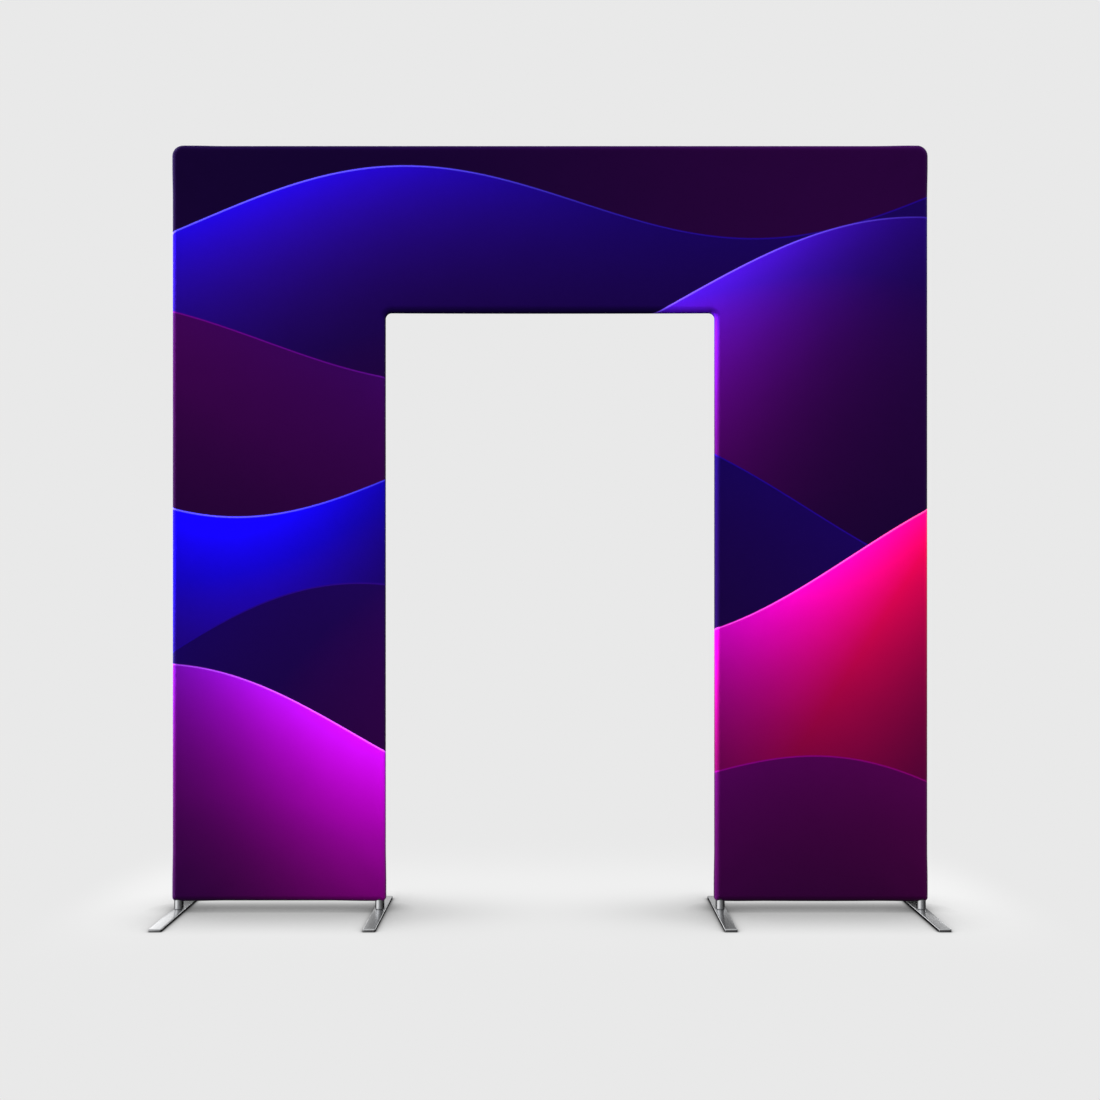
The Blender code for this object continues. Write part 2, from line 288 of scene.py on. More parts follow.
@dataclass(frozen=True)
class WavePrint:
    """A generic design of soft waves in night blue, royal blue, violet, magenta and crimson."""

    night: Color = from_screen(17, 3, 42)
    dusk: Color = from_screen(35, 3, 51)
    ground: Fade = Fade(-0.8, 1.1, 0.0, 1.0)
    row: tuple[tuple[float, Color], ...] = (
        (0.0, from_screen(2, 0, 255)),
        (0.30, from_screen(84, 22, 240)),
        (0.60, from_screen(240, 0, 250)),
        (1.0, from_screen(255, 0, 80)),
    )
    hue_by_depth: float = 0.45
    veil: float = 0.055
    crest: float = 2.2 * MM
    crest_lit: float = 0.6
    crest_faint: float = 0.14
    crest_pale: Color = (0.14, 0.12, 0.14)
    soft_edge: float = 1.2 * MM
    waves: tuple[Wave, ...] = (
        Wave(2.34, 0.05, 0.15, 2.5, 2.9, 0.36, 0.08, 0.04, -0.95, 0.70, 0.66),
        Wave(1.98, 0.10, 0.20, 2.3, 5.3, 0.36, 0.35, -0.12, 0.45, 0.50, 0.85),
        Wave(1.42, -0.10, 0.22, 2.4, 1.1, 0.42, 0.02, 0.10, -1.10, 0.50, 1.10),
        Wave(1.02, 0.16, 0.18, 2.7, 3.6, 0.50, 0.50, 0.36, 1.10, 0.55, 1.20),
        Wave(0.50, -0.14, 0.15, 2.9, 5.0, 0.40, 0.60, 0.16, -0.70, 0.50, 1.05),
    )

    def lay(self, g: Graph, x: Socket, z: Socket) -> Socket:
        """Adds the whole design to a material.

        Args:
            g: The material's graph.
            x: Distance to the right of the arch's middle.
            z: Height above the floor.

        Returns:
            The print's colour.
        """
        group = self._group()
        color = g.mix(g.remap(x, *self.ground), self.night, self.dusk)
        for wave in self.waves:
            inputs = {"x": x, "z": z, "below": color, **vars(wave)}
            color = g.node("Group", inputs, node_tree=group).outputs[0]
        return color

    def _group(self) -> bpy.types.NodeTree:
        """Builds the node group that lays one wave over the colour below it.

        Returns:
            The group, with an input for each size of a wave.
        """
        sizes = dict.fromkeys(("x", "z", *Wave.__dataclass_fields__), "Float")
        g, given, result = new_group("Shader", "wave_of_print", {**sizes, "below": "Color"}, "Color")
        g.feed(result, self._one_wave(g, given))
        return g.tree

    def _one_wave(self, g: Graph, given: bpy.types.NodeOutputs) -> Socket:
        """Lays one wave over what is behind it.

        Args:
            g: The group's graph.
            given: The group's inputs.

        Returns:
            The colour.
        """
        x = given["x"]
        angle = g.math("MULTIPLY_ADD", x, given["turn"], given["phase"])
        line = g.math("MULTIPLY_ADD", x, given["slope"], given["level"])
        height = g.math("MULTIPLY_ADD", g.math("SINE", angle), given["swing"], line)
        swell = g.product(given["swing"], given["turn"])
        rise = g.math("MULTIPLY_ADD", g.math("COSINE", angle), swell, given["slope"])
        length = g.math("SQRT", g.math("MULTIPLY_ADD", rise, rise, 1.0))
        above = g.math("DIVIDE", g.math("SUBTRACT", given["z"], height), length)

        hue = g.math("MULTIPLY_ADD", x, given["drift"], given["hue"])
        color = self._color_row(g, g.math("MULTIPLY_ADD", above, -self.hue_by_depth, hue))
        focus = g.bell(g.math("DIVIDE", g.math("SUBTRACT", x, given["focus"]), given["spread"]))
        glow = g.math("EXPONENT", g.math("DIVIDE", g.math("MINIMUM", above, 0.0), given["reach"]))
        veil = g.product(glow, self.veil)
        bright = g.math("MULTIPLY_ADD", g.product(glow, glow, focus), given["gain"], veil)
        body = g.vector("ADD", self.night, g.scale(color, bright))
        inside = g.remap(above, -self.soft_edge, self.soft_edge, 1.0, 0.0)
        laid = g.mix(inside, given["below"], body)

        on_crest = g.bell(g.total(g.math("DIVIDE", above, self.crest), 1.0))
        line = g.scale(color, g.math("MULTIPLY_ADD", focus, self.crest_lit, self.crest_faint))
        line = g.vector("ADD", line, g.scale(self.crest_pale, focus))
        return g.vector("ADD", laid, g.scale(line, on_crest))

    def _color_row(self, g: Graph, place: Socket) -> Socket:
        """Reads the row of colours.

        Args:
            g: The graph.
            place: Place on the row, from 0 to 1.

        Returns:
            The colour there.
        """
        ramp = g.node("ValToRGB", (place,))
        stops = ramp.color_ramp.elements
        while len(stops) < len(self.row):
            stops.new(0.5)
        for stop, (position, color) in zip(stops, self.row):
            stop.position = position
            stop.color = (*color, 1.0)
        return ramp.outputs[0]


# Finishes


@dataclass(frozen=True)
class PrintedCloth:
    """Warp-knitted polyester with the print dyed into it, and shade painted into its colour along the
    edge seam.
    """

    design: WavePrint = WavePrint()
    wale: float = 0.9 * MM
    course: float = 0.7 * MM
    lean: float = 1.6
    loop: float = 0.35
    knit_depth: float = 0.06 * MM
    roughness: float = 0.6
    uneven: float = 0.1
    gloss: float = 0.0
    sheen: float = 0.08
    mottle: float = 0.04
    # painted shade along the edge seam: the colour is 0.35 of itself within 4 mm of the seam and full
    # from 12 mm on
    seam: Fade = Fade(4 * MM, 12 * MM, 0.35, 1.0)

    def material(self) -> bpy.types.Material:
        """Builds the cloth's material on the panel's own flat map, in metres.

        Returns:
            The material.
        """
        material, g, shader = new_material("printed_stretch_cloth")
        flat = g.node("UVMap", uv_map="cloth").outputs[0]
        x, z, _ = g.node("SeparateXYZ", (flat,)).outputs
        from_seam = g.node("Attribute", attribute_name="from_seam").outputs["Fac"]
        dye = g.noise(flat, scale=9.0, detail=4.0)
        dye = g.math("MULTIPLY_ADD", dye, 2 * self.mottle, 1 - self.mottle)
        # the dye's random tone times the painted shade along the edge seam
        shade = g.product(dye, g.remap(from_seam, *self.seam))
        rough = g.noise(flat, scale=60.0)
        g.fill(shader, {
            "Base Color": g.scale(self.design.lay(g, x, z), shade),
            "Normal": g.bump(self._knit(g, x, z), self.knit_depth, strength=0.6),
            "Roughness": g.math("MULTIPLY_ADD", rough, self.uneven, self.roughness - self.uneven / 2),
            "Specular IOR Level": self.gloss,
            "Sheen Weight": self.sheen,
            "Sheen Roughness": 0.35,
        })
        return material

    def _knit(self, g: Graph, x: Socket, z: Socket) -> Socket:
        """Works out the knit: upright wales, each a chain of short loops.

        Args:
            g: The material's graph.
            x: Place across the wales.
            z: Place along them.

        Returns:
            The knit's height.
        """
        wale = g.math("COSINE", g.product(x, 2 * math.pi / self.wale))
        along = g.product(z, 2 * math.pi / self.course)
        leg = g.math("MULTIPLY_ADD", g.math("ABSOLUTE", wale), self.lean, along)
        return g.math("MULTIPLY_ADD", g.math("SINE", leg), self.loop, wale)


@dataclass(frozen=True)
class SatinMetal:
    """Metal with a drawn, satin surface, and shade painted into its colour where pieces meet.

    Args:
        name: The material's name.
        color: Base colour.
        roughness: Mean roughness.
        grain: Frequency of the drawn lines on each axis, for each metre.
        wear: How much the roughness varies.
        streaks: How much the drawn lines vary the colour.
        recess: Reach of the painted shade in the corners where pieces meet.
        recess_shade: How much of the colour is left in that painted shade, over how open a spot is.
    """

    name: str
    color: Color
    roughness: float
    grain: tuple[float, float, float]
    wear: float = 0.04
    streaks: float = 0.08
    recess: float = 9 * MM
    recess_shade: Fade = Fade(0.35, 0.95, 0.5, 1.0)

    def material(self) -> bpy.types.Material:
        """Builds the metal's material on Object coordinates.

        Returns:
            The material.
        """
        material, g, shader = new_material(self.name)
        place = g.node("TexCoord").outputs["Object"]
        lines = g.noise(g.vector("MULTIPLY", place, self.grain), scale=1.0, detail=3.0)
        cloud = g.noise(place, scale=22.0, detail=3.0)
        # painted shade: the colour darkens where ambient occlusion finds other pieces close by, in
        # corners and under the cover
        open_share = g.node("AmbientOcclusion", {"Distance": self.recess}, samples=8).outputs["AO"]
        streak = g.math("MULTIPLY_ADD", lines, self.streaks, 1 - self.streaks / 2)
        shade = g.product(streak, g.remap(open_share, *self.recess_shade))
        rough = g.math("MULTIPLY_ADD", cloud, self.wear, self.roughness - self.wear / 2)
        g.fill(shader, {
            "Base Color": g.scale(self.color, shade),
            "Roughness": g.math("MULTIPLY_ADD", lines, self.wear, rough),
            "Normal": g.bump(lines, 0.01 * MM, strength=0.2),
            "Metallic": 1.0,
        })
        return material


@dataclass(frozen=True)
class GrainedFinish:
    """A matt finish with a fine, even grain.

    Args:
        name: The material's name.
        color: Base colour.
        grain: Frequency of the grain, for each metre.
        detail: How much finer grain lies on it.
        darkest: Share of the colour that is left in the grain's hollows.
        lift: How much more shows on its tops.
        strength: Strength of its relief.
        roughness: Roughness.
        sheen: Weight of the fibres' sheen.
        depth: Depth of the relief.
    """

    name: str
    color: Color
    grain: float
    detail: float
    darkest: float
    lift: float
    strength: float
    roughness: float
    sheen: float = 0.0
    depth: float = 0.05 * MM

    def material(self) -> bpy.types.Material:
        """Builds the material on Object coordinates.

        Returns:
            The material.
        """
        material, g, shader = new_material(self.name)
        grain = g.noise(g.node("TexCoord").outputs["Object"], self.grain, self.detail)
        g.fill(shader, {
            "Base Color": g.scale(self.color, g.math("MULTIPLY_ADD", grain, self.lift, self.darkest)),
            "Normal": g.bump(grain, self.depth, self.strength),
            "Roughness": self.roughness,
            "Sheen Weight": self.sheen,
        })
        return material


STEEL = from_screen(205, 206, 208)
POST_STEEL = SatinMetal("post_steel", STEEL, roughness=0.22, grain=(900.0, 900.0, 30.0))
# the feet's painted shade reaches 30 mm, so their ends under the cover come out darker
FOOT_STEEL = SatinMetal(
    "foot_steel", STEEL, roughness=0.21, grain=(1100.0, 16.0, 1100.0), recess=30 * MM
)
TUBE_ALUMINIUM = SatinMetal(
    "tube_aluminium", (0.72, 0.73, 0.75), roughness=0.38, grain=(300.0, 300.0, 300.0)
)
FITTING_PLASTIC = GrainedFinish(
    "fitting_plastic", (0.018, 0.018, 0.02),
    grain=1400.0, detail=2.0, darkest=0.85, lift=0.3, strength=0.4, roughness=0.5,
)
SEAM_THREAD = GrainedFinish(
    "seam_thread", from_screen(26, 14, 58),
    grain=2600.0, detail=1.0, darkest=0.65, lift=0.7, strength=0.5, roughness=0.6, sheen=0.15,
)


# Meshes and objects


class Rays(Enum):
    """The kinds of ray that a piece, a lamp, the floor or a card can be hidden from."""

    CAMERA = "visible_camera"
    DIFFUSE = "visible_diffuse"
    GLOSSY = "visible_glossy"
    SHADOW = "visible_shadow"


def hide_from(thing: bpy.types.Object, *kinds: Rays) -> None:
    """Hides an object from these kinds of ray."""
    for rays in kinds:
        setattr(thing, rays.value, False)


def plain_object(mesh: bpy.types.Mesh, material: bpy.types.Material) -> bpy.types.Object:
    """Links a mesh into the scene with one material.

    Args:
        mesh: The mesh, in the row frame, which also names the object.
        material: Its finish.

    Returns:
        The object, at the origin.
    """
    mesh.materials.clear()
    mesh.materials.append(material)
    piece = bpy.data.objects.new(mesh.name, mesh)
    bpy.context.scene.collection.objects.link(piece)
    return piece


def block(low: Vector, high: Vector) -> bmesh.types.BMesh:
    """Starts a mesh with a block.

    Args:
        low: The block's lowest corner.
        high: Its highest corner.

    Returns:
        The mesh.
    """
    bm = bmesh.new()
    bmesh.ops.create_cube(bm, size=1.0)
    bmesh.ops.scale(bm, verts=bm.verts, vec=high - low)
    bmesh.ops.translate(bm, verts=bm.verts, vec=(low + high) / 2)
    return bm


def mesh_of(bm: bmesh.types.BMesh, name: str) -> bpy.types.Mesh:
    """Ends the making of a mesh.

    Args:
        bm: The mesh as it was made, which is freed.
        name: Its name.

    Returns:
        The finished mesh.
    """
    mesh = bpy.data.meshes.new(name)
    bm.to_mesh(mesh)
    bm.free()
    return mesh


def smooth(mesh: bpy.types.Mesh, sharp: float) -> None:
    """Shades a mesh smooth but for its edges of at least this many degrees."""
    mesh.shade_smooth()
    mesh.set_sharp_from_angle(angle=math.radians(sharp))


def settle(piece: bpy.types.Object, slot: str, *nodes: str) -> None:
    """Puts a finished piece on the stand's body, in place of its CAD nodes.

    Args:
        piece: The piece.
        slot: Name of the piece's material slot, which is only logged.
        *nodes: CAD nodes that it stands for.
    """
    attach(piece, "root")
    if nodes:
        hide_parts(*nodes)
    triangles = sum(len(face.vertices) - 2 for face in piece.data.polygons)
    LOG.info("%s: %d triangles, slot %s", piece.name, triangles, slot)


# Cover


class Side(Enum):
    """Which way a panel of the cover faces."""

    FRONT = -1
    BACK = 1


class Corner(NamedTuple):
    """A corner of the tubes' centre line. Its way is 1 out of the cover, or -1 at the doorway."""

    x: float
    z: float
    radius: float
    way: int


@dataclass
class ArchLine:
    """The centre line of the tubes round the arch, and the rings of points that follow it.

    A ring has one point at each place round the arch, at an offset outwards from the centre
    line. Negative offsets lie on the flat of the panels.
    """

    outer_x: float
    inner_x: float
    bottom_z: float
    top_z: float
    lintel_z: float
    plane_y: float
    tube_r: float
    lifted_r: float
    cloth: float = 1.5 * MM
    cloth_fit: float = 0.5 * MM
    top_corner: float = 37 * MM
    bottom_corner: float = 14 * MM
    door_corner: float = 19.5 * MM
    least_corner: float = 6 * MM
    first_step: float = 1.8 * MM
    growth: float = 1.09
    longest_step: float = 9 * MM
    arc_steps: int = 12
    door_arc_steps: int = 24

    @classmethod
    def from_frame(cls) -> "ArchLine":
        """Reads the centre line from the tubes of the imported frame.

        Returns:
            The line.
        """

        def middle(node: str) -> Vector:
            """Middle of a node's box."""
            low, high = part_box(node)
            return (low + high) / 2

        low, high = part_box("top_bar")
        _, cover_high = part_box("cover_front_panel")
        outer = middle("outer_upright_right")
        return cls(
            outer_x=outer.x,
            inner_x=middle("inner_upright_right").x,
            bottom_z=middle("bottom_bar_left").z,
            top_z=middle("top_bar").z,
            lintel_z=middle("lintel_bar").z,
            plane_y=outer.y,
            tube_r=(high.z - low.z) / 2,
            lifted_r=cover_high.x - outer.x,
        )

    def __post_init__(self) -> None:
        """Works out the corners and the places round the arch."""
        self.cover_r = self.tube_r + self.cloth_fit + self.cloth
        self.post_x = np.array([-self.outer_x, -self.inner_x, self.inner_x, self.outer_x])
        x, i = self.outer_x, self.inner_x
        low, high, lintel = self.bottom_z, self.top_z, self.lintel_z
        base, top, door = self.bottom_corner, self.top_corner, self.door_corner
        self.corners = tuple(Corner(*row) for row in (
            (-x, low, base, 1), (-x, high, top, 1), (x, high, top, 1), (x, low, base, 1),
            (i, low, base, 1), (i, lintel, door, -1), (-i, lintel, door, -1), (-i, low, base, 1),
        ))
        table = np.array(self.corners)
        self._spots, self._radii, self._ways = table[:, :2], table[:, 2], table[:, 3]
        self._leave = np.roll(self._spots, -1, axis=0) - self._spots
        self._leave /= np.linalg.norm(self._leave, axis=1)[:, None]
        self._arrive = np.roll(self._leave, 1, axis=0)
        self._lay_places()

    def _lay_places(self) -> None:
        """Spreads the places round the arch, closer together near the corners."""
        rows = []
        for index, corner in enumerate(self.corners):
            following = (index + 1) % len(self.corners)
            steps = self.arc_steps if corner.way > 0 else self.door_arc_steps
            rows += [(index, step / steps, index, 0.0, 0.0) for step in range(steps + 1)]
            length = math.dist(corner[:2], self.corners[following][:2])
            rows += [(index, 1.0, following, 0.0, share) for share in self._shares(length)]
        start, self._start_turn, end, self._end_turn, self._share = np.array(rows).T
        self._start, self._end = start.astype(int), end.astype(int)
        self.count = len(rows)
        self.x, self.z = self.points(np.full(self.count, self.cover_r)).T
        steps = np.hypot(np.diff(self.x, append=self.x[0]), np.diff(self.z, append=self.z[0]))
        self.along = np.concatenate([[0.0], np.cumsum(steps)[:-1]])

    def _shares(self, length: float) -> list[float]:
        """Spreads places along a straight edge.

        Args:
            length: The edge's length.

        Returns:
            The places, as shares of it.
        """
        near, step = [], self.first_step
        reached = step
        while step < self.longest_step and reached < length / 2:
            near.append(reached / length)
            step *= self.growth
            reached += step
        first = near[-1]
        count = max(int((1 - 2 * first) * length / self.longest_step), 1)
        middle = [first + (1 - 2 * first) * k / count for k in range(1, count)]
        return near + middle + [1 - share for share in reversed(near)]

    def _corner(self, index: np.ndarray, turn: np.ndarray, offset: np.ndarray) -> np.ndarray:
        """Finds points on the corners' arcs.

        Args:
            index: The corner of each point.
            turn: Its place on the arc, 0 where the arc starts and 1 where it ends.
            offset: Its distance outwards from the centre line.

        Returns:
            The points (x, z).
        """
        way = self._ways[index]
        tightest = np.maximum(self._radii[index] - (self.lifted_r - offset), self.least_corner)
        radius = np.where(way > 0, tightest, self._radii[index] + self.cover_r - offset)
        shift = np.where(way > 0, offset - radius, -(offset + radius)) * way
        arrive, leave = self._arrive[index], self._leave[index]
        arrive_out = np.stack([-arrive[:, 1], arrive[:, 0]], axis=1)
        leave_out = np.stack([-leave[:, 1], leave[:, 0]], axis=1)
        middle = self._spots[index] + shift[:, None] * (arrive_out + leave_out)
        angle = (turn * math.pi / 2)[:, None]
        out = way[:, None] * (arrive_out * np.cos(angle) + leave_out * np.sin(angle))
        return middle + radius[:, None] * out

    def points(self, offset: np.ndarray) -> np.ndarray:
        """Finds the points of a ring.

        Args:
            offset: Distance outwards from the centre line, one for each place.

        Returns:
            The points (x, z), one for each place.
        """
        start = self._corner(self._start, self._start_turn, offset)
        end = self._corner(self._end, self._end_turn, offset)
        return start + (end - start) * self._share[:, None]

    def from_corner(self, way: int) -> np.ndarray:
        """Distance of each place from the nearest corner of this way."""
        spots = self._spots[self._ways == way]
        return np.hypot(self.x[:, None] - spots[:, 0], self.z[:, None] - spots[:, 1]).min(axis=1)

    def from_post(self, x: np.ndarray) -> np.ndarray:
        """Distance of each x from the nearest post's axis."""
        return np.abs(x[:, None] - self.post_x).min(axis=1)


@dataclass(frozen=True)
class Ripple:
    """An uneven ripple along the cover's edge, which runs ahead and behind as it goes.

    Args:
        turn: Radians of it for each metre.
        sway: How far it runs ahead and behind, in radians.
        sway_turn: Radians of that sway for each metre.
    """

    turn: float
    sway: float
    sway_turn: float

    def at(self, along: np.ndarray) -> np.ndarray:
        """Height of the ripple, from 0 to 1, at distances along the edge."""
        swayed = self.sway * np.sin(along * self.sway_turn)
        return 0.5 + 0.5 * np.sin(along * self.turn + swayed)


@dataclass(frozen=True)
class Ring:
    """One closed row of points on a panel.

    Args:
        points: Points (x, depth, z), the depth measured from the frame's plane.
        flat: Their places on the flat cloth.
        from_seam: Their distances from the edge seam along the cloth.
    """

    points: np.ndarray
    flat: np.ndarray
    from_seam: np.ndarray


@dataclass
class CoverPanel:
    """One panel of the cover: its flat, and its edge turned round the tubes to the seam."""

    side: Side
    line: ArchLine
    finish: bpy.types.Material
    post_hole: float = 15.8 * MM
    hole_steps: int = 160
    seam_gap: float = 0.3 * MM
    rim_steps: int = 16
    inner_steps: int = 6
    rim_power: float = 1.6
    face_insets: tuple[float, ...] = (
        0.005, 0.012, 0.021, 0.032, 0.046, 0.063, 0.084, 0.108, 0.136, 0.168, 0.202, 0.235,
    )
    inner_insets: tuple[float, ...] = (0.03, 0.10, 0.235)
    lift: tuple[float, float] = (45 * MM, 160 * MM)
    lift_into_face: float = 120 * MM
    groove: float = 0.9 * MM
    groove_width: float = 1.5 * MM
    pucker: float = 0.22 * MM
    pucker_reach: float = 9 * MM
    puckers: Ripple = Ripple(2 * math.pi / 0.0231, 1.7, 11.3)
    swell: Ripple = Ripple(3.1, 2.0, 1.7)
    least_swell: float = 0.1
    fold: float = 0.16 * MM
    folds: Ripple = Ripple(2 * math.pi / 0.0172, 0.9, 23.0)
    corner_folds: tuple[float, float] = (20 * MM, 90 * MM)
    door_folds: tuple[float, float] = (30 * MM, 260 * MM)
    fold_fade: float = 90 * MM
    fold_start: float = 20 * MM
    fold_end: float = 80 * MM
    hem: float = 0.3 * MM
    hem_width: float = 3.5 * MM
    lintel_sag: float = 1.2 * MM
    lintel_band: float = 2 * MM
    right_leg_sag: float = 2.2 * MM

    def build(self) -> bpy.types.Object:
        """Returns:
            The finished piece.
        """
        self._measure_line()
        outer = [self._rim(step / self.rim_steps, 0.0) for step in range(self.rim_steps + 1)]
        outer += [self._face(inset, 0.0) for inset in self.face_insets]
        cloth = self.line.cloth
        inner = [self._rim(step / self.inner_steps, cloth) for step in range(self.inner_steps + 1)]
        inner += [self._face(inset, cloth) for inset in self.inner_insets]
        piece = plain_object(self._mesh(outer[::-1] + inner), self.finish)
        self._declare(piece)
        return piece

    def _declare(self, piece: bpy.types.Object) -> None:
        """Puts the panel on the stand in place of its CAD node, hidden from glossy rays.

        Args:
            piece: The panel.
        """
        hide_from(piece, Rays.GLOSSY)
        settle(piece, "cover_cloth", f"cover_{self.side.name.lower()}_panel")

    def _measure_line(self) -> None:
        """Works out, for each place, how the fittings, posts and corners shape the cloth."""
        line = self.line
        from_outer, from_door = line.from_corner(1), line.from_corner(-1)
        self._lift = 1 - smooth_step(*self.lift, from_outer)
        self._corner_fold = 1 - smooth_step(*self.corner_folds, from_outer)
        self._door_fold = 1 - smooth_step(*self.door_folds, from_door)
        swell = self.least_swell + (1 - self.least_swell) * self.swell.at(line.along)
        self._ripple = self.puckers.at(line.along) * swell
        self._radiate = self.folds.at(line.along)
        band = line.lifted_r + self.lintel_band
        lintel = (line.z < line.lintel_z) & (line.z > line.lintel_z - band)
        self._sag = lintel * self.lintel_sag * self._droop(-line.inner_x, line.inner_x)
        leg = self._droop(line.inner_x, line.outer_x)
        self._sag += (line.z < line.bottom_z) * self.right_leg_sag * leg

    def _droop(self, left: float, right: float) -> np.ndarray:
        """How far each place of a span droops, 1 in its middle and 0 at and past its ends."""
        middle, half = (left + right) / 2, (right - left) / 2
        return np.clip(1 - ((self.line.x - middle) / half) ** 2, 0.0, 1.0)

    def _rim(self, share: float, inside: float) -> Ring:
        """Makes a ring of the rim.

        Args:
            share: Place on the rim, from the seam at 0 to the flat at 1.
            inside: Distance under the cloth's outer skin.

        Returns:
            The ring.
        """
        line = self.line
        radius = line.cover_r + (line.lifted_r - line.cover_r) * self._lift - inside
        start = self._hole_angle(radius)
        angle = start + (math.pi / 2 - start) * share**self.rim_power
        from_seam = radius * angle
        rise = self.pucker * self._ripple * np.exp(-((from_seam / self.pucker_reach) ** 2))
        rise += self.fold * self._radiate * self._corner_fold * np.sin(angle * 2) ** 2
        full = radius + rise
        if inside == 0.0:
            from_hole = (angle - start) * radius / self.hem_width
            full = full + np.where(start > 0, self.hem * np.clip(1 - from_hole**2, 0, 1), 0.0)
        offset = full * np.cos(angle)
        depth = full * np.sin(angle)
        if inside == 0.0:
            offset -= self.groove * np.exp(-((depth / self.groove_width) ** 2))
        offset += self._sag * np.cos(angle)
        x, z = line.points(offset).T
        flat = line.points(radius * (math.pi / 2 - angle))
        points = np.stack([x, np.maximum(depth, self.seam_gap / 2), z], axis=1)
        return Ring(points, flat, from_seam)

    def _hole_angle(self, radius: np.ndarray) -> np.ndarray:
        """Finds where the rim leaves the holes round the posts.

        Args:
            radius: The rim's radius at each place.

        Returns:
            The angle from the seam at which it does, or 0 away from a post.
        """
        start = np.zeros(self.line.count)
        for angle in np.linspace(0.0, math.pi / 2, self.hole_steps)[1:]:
            x, z = self.line.points(radius * math.cos(angle)).T
            reach = np.hypot(self.line.from_post(x), radius * math.sin(angle))
            start = np.where((reach < self.post_hole) & (z < self.line.bottom_z), angle, start)
        return start

    def _face(self, inset: float, inside: float) -> Ring:
        """Makes a ring on the flat of the panel.

        Args:
            inset: Distance inwards from the tubes' centre line.
            inside: Distance under the cloth's outer skin.

        Returns:
            The ring.
        """
        line = self.line
        lift = self._lift * (1 - smooth_step(0.0, self.lift_into_face, inset))
        depth = line.cover_r + (line.lifted_r - line.cover_r) * lift
        fade = math.exp(-inset / self.fold_fade) * smooth_step(0.0, self.fold_start, inset)
        fade *= 1 - smooth_step(self.fold_end, self.face_insets[-1], inset)
        depth = depth + self.fold * self._radiate * self._door_fold * fade
        flat = line.points(np.full(line.count, -inset))
        points = np.stack([flat[:, 0], depth - inside, flat[:, 1]], axis=1)
        return Ring(points, flat, np.full(line.count, line.cover_r * math.pi / 2 + inset))

    def _mesh(self, rings: list[Ring]) -> bpy.types.Mesh:
        """Joins the rings into one closed mesh and maps the cloth flat.

        Args:
            rings: The rings, from the outer skin's innermost over the seam to the inner skin's.

        Returns:
            The mesh.
        """
        points = np.concatenate([ring.points for ring in rings])
        points[:, 1] = self.line.plane_y + self.side.value * points[:, 1]
        flat = np.concatenate([ring.flat for ring in rings])
        faces = self._faces(flat, len(rings))
        if self.side is Side.BACK:
            faces = [face[::-1] for face in faces]
        mesh = bpy.data.meshes.new(f"cover_{self.side.name.lower()}_cloth")
        mesh.from_pydata(points.tolist(), [], faces)
        self._face_outwards(mesh)
        smooth(mesh, sharp=60)
        corners = np.empty(len(mesh.loops), np.int32)
        mesh.loops.foreach_get("vertex_index", corners)
        layer = mesh.uv_layers.new(name="cloth")
        layer.data.foreach_set("uv", flat[corners].astype(np.float32).ravel())
        from_seam = np.concatenate([ring.from_seam for ring in rings])
        edge = mesh.attributes.new("from_seam", "FLOAT", "POINT")
        edge.data.foreach_set("value", from_seam.astype(np.float32))
        return mesh

    def _faces(self, flat: np.ndarray, rings: int) -> list[list[int]]:
        """Lays faces between the rings and over the flats inside the first and the last.

        Args:
            flat: Places of all points on the flat cloth.
            rings: How many rings there are.

        Returns:
            The points of each face.
        """
        count = self.line.count
        here = np.arange(count)
        after = np.roll(here, -1)
        band = np.stack([here, after, after + count, here + count], axis=1)
        faces = np.concatenate([band + k * count for k in range(rings - 1)]).tolist()
        for base in (0, (rings - 1) * count):
            ring = [Vector((x, z, 0.0)) for x, z in flat[base : base + count]]
            for face in tessellate_polygon([ring]):
                a, b, c = (base + corner for corner in face)
                faces.append([a, c, b] if base else [a, b, c])
        return faces

    @staticmethod
    def _face_outwards(mesh: bpy.types.Mesh) -> None:
        """Turns every face of a closed mesh outwards.

        Args:
            mesh: The mesh.
        """
        bm = bmesh.new()
        bm.from_mesh(mesh)
        bmesh.ops.recalc_face_normals(bm, faces=bm.faces)
        if bm.calc_volume(signed=True) < 0:
            bmesh.ops.reverse_faces(bm, faces=bm.faces)
        bm.to_mesh(mesh)
        bm.free()


